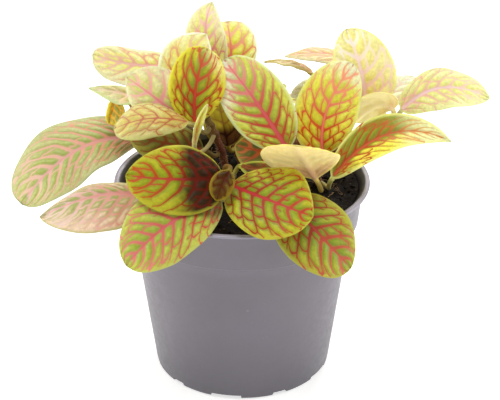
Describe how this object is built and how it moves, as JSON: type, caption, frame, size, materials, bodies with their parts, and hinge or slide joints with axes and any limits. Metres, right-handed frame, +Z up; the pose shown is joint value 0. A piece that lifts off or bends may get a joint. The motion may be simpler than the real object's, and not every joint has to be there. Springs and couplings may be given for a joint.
{
  "type": "potted nerve plant",
  "caption": "Small bushy nerve plant with oval, strongly veined yellow, green and pink leaves on short branching stems, growing in a round tapered plastic nursery pot filled with dark soil.",
  "frame": {"origin": "centre of the pot's underside, on the surface it stands on", "axes": "+Z up along the pot's axis, -Y towards the front of the plant as pictured, +X to the viewer's right"},
  "size_m": [0.1697, 0.1173, 0.1279],
  "materials": {
    "pot": "satin grey moulded polypropylene",
    "soil": "moist dark peat with fibres",
    "stem": "soft green to red-brown stem with fine hairs",
    "leaf_yellow": "yellow-green blade with red veins, slightly glossy",
    "leaf_green": "green blade with pink veins, slightly glossy",
    "leaf_pale": "pale yellow blade with soft pink veins",
    "leaf_dark": "young or shaded bronze to dark green blade with red veins",
    "leaf_salmon": "salmon pink blade with pale green marks"
  },
  "bodies": {
    "root": {"pot": "pot", "soil": "soil", "stem_front": "stem", "stem_upper": "stem", "stem_centre": "stem", "stem_right": "stem", "stem_far_right": "stem", "stem_left": "stem", "stem_low_left": "stem", "stem_back": "stem", "stem_back_left": "stem", "stem_back_right": "stem", "leaf_01": "leaf_yellow", "leaf_02": "leaf_yellow", "leaf_03": "leaf_green", "leaf_04": "leaf_yellow", "leaf_05": "leaf_dark", "leaf_06": "leaf_green", "leaf_07": "leaf_salmon", "leaf_08": "leaf_salmon", "leaf_09": "leaf_yellow", "leaf_10": "leaf_dark", "leaf_11": "leaf_yellow", "leaf_12": "leaf_green", "leaf_13": "leaf_pale", "leaf_14": "leaf_pale", "leaf_15": "leaf_pale", "leaf_16": "leaf_pale", "leaf_17": "leaf_pale", "leaf_18": "leaf_pale", "leaf_19": "leaf_green", "leaf_20": "leaf_yellow", "leaf_21": "leaf_pale", "leaf_22": "leaf_yellow", "leaf_23": "leaf_dark", "leaf_24": "leaf_pale", "leaf_25": "leaf_pale", "leaf_26": "leaf_yellow", "leaf_27": "leaf_pale", "leaf_28": "leaf_pale", "leaf_29": "leaf_pale", "leaf_30": "leaf_pale", "leaf_31": "leaf_green", "leaf_32": "leaf_green", "leaf_33": "leaf_yellow", "leaf_34": "leaf_green", "leaf_35": "leaf_yellow", "leaf_36": "leaf_dark", "leaf_37": "leaf_green", "leaf_38": "leaf_yellow", "leaf_39": "leaf_green", "leaf_40": "leaf_yellow", "leaf_41": "leaf_green", "leaf_42": "leaf_pale", "leaf_43": "leaf_dark", "leaf_44": "leaf_dark", "leaf_45": "leaf_yellow"}
  },
  "joints": []
}
